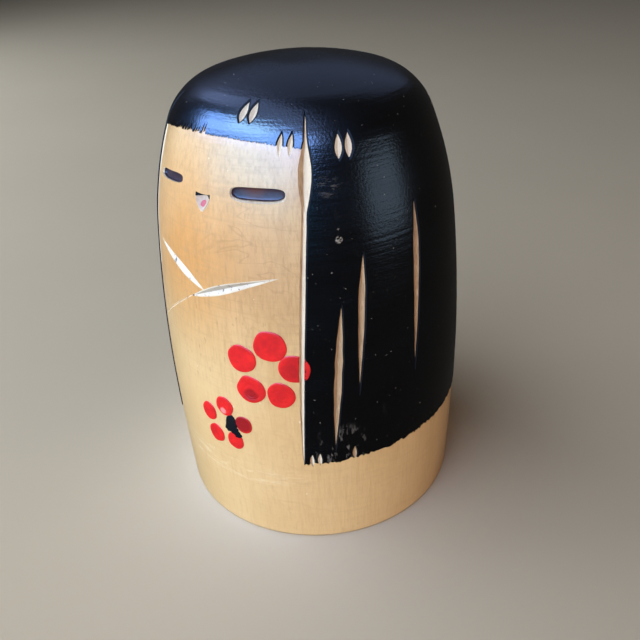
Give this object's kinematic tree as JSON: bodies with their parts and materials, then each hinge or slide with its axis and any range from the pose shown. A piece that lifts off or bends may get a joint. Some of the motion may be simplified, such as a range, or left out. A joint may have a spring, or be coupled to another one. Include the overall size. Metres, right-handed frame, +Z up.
{
  "type": "kokeshi doll",
  "caption": "Squat turned wooden doll with carved eyes and mouth, gloss black hair cut by a gouge, white collar lines and red painted flowers.",
  "frame": {"origin": "middle of the flat base, on the surface that the doll stands on", "axes": "+Z up along the lathe axis, the face looks along -Y, +X is the doll's own left"},
  "size_m": [0.06, 0.0602, 0.0875],
  "materials": {
    "wood": "satin",
    "black_lacquer": "gloss",
    "eye_gloss": "gloss",
    "white_paint": "matte",
    "dark_paint": "satin",
    "pink_paint": "matte",
    "red_paint": "satin"
  },
  "bodies": {
    "root": {"body": "wood", "hair_lacquer": "black_lacquer", "eye_right": "eye_gloss", "eye_left": "eye_gloss", "mouth_white": "white_paint", "mouth_lip_line": "dark_paint", "mouth_dot": "pink_paint", "collar_right_lapel": "white_paint", "collar_left_lapel": "white_paint", "large_flower_petal_1": "red_paint", "large_flower_petal_2": "red_paint", "large_flower_petal_3": "red_paint", "large_flower_petal_4": "red_paint", "large_flower_petal_5": "red_paint", "small_flower_petal_1": "red_paint", "small_flower_petal_2": "red_paint", "small_flower_petal_3": "red_paint", "small_flower_petal_4": "red_paint", "small_flower_petal_5": "red_paint", "flower_blot": "dark_paint"}
  },
  "joints": []
}
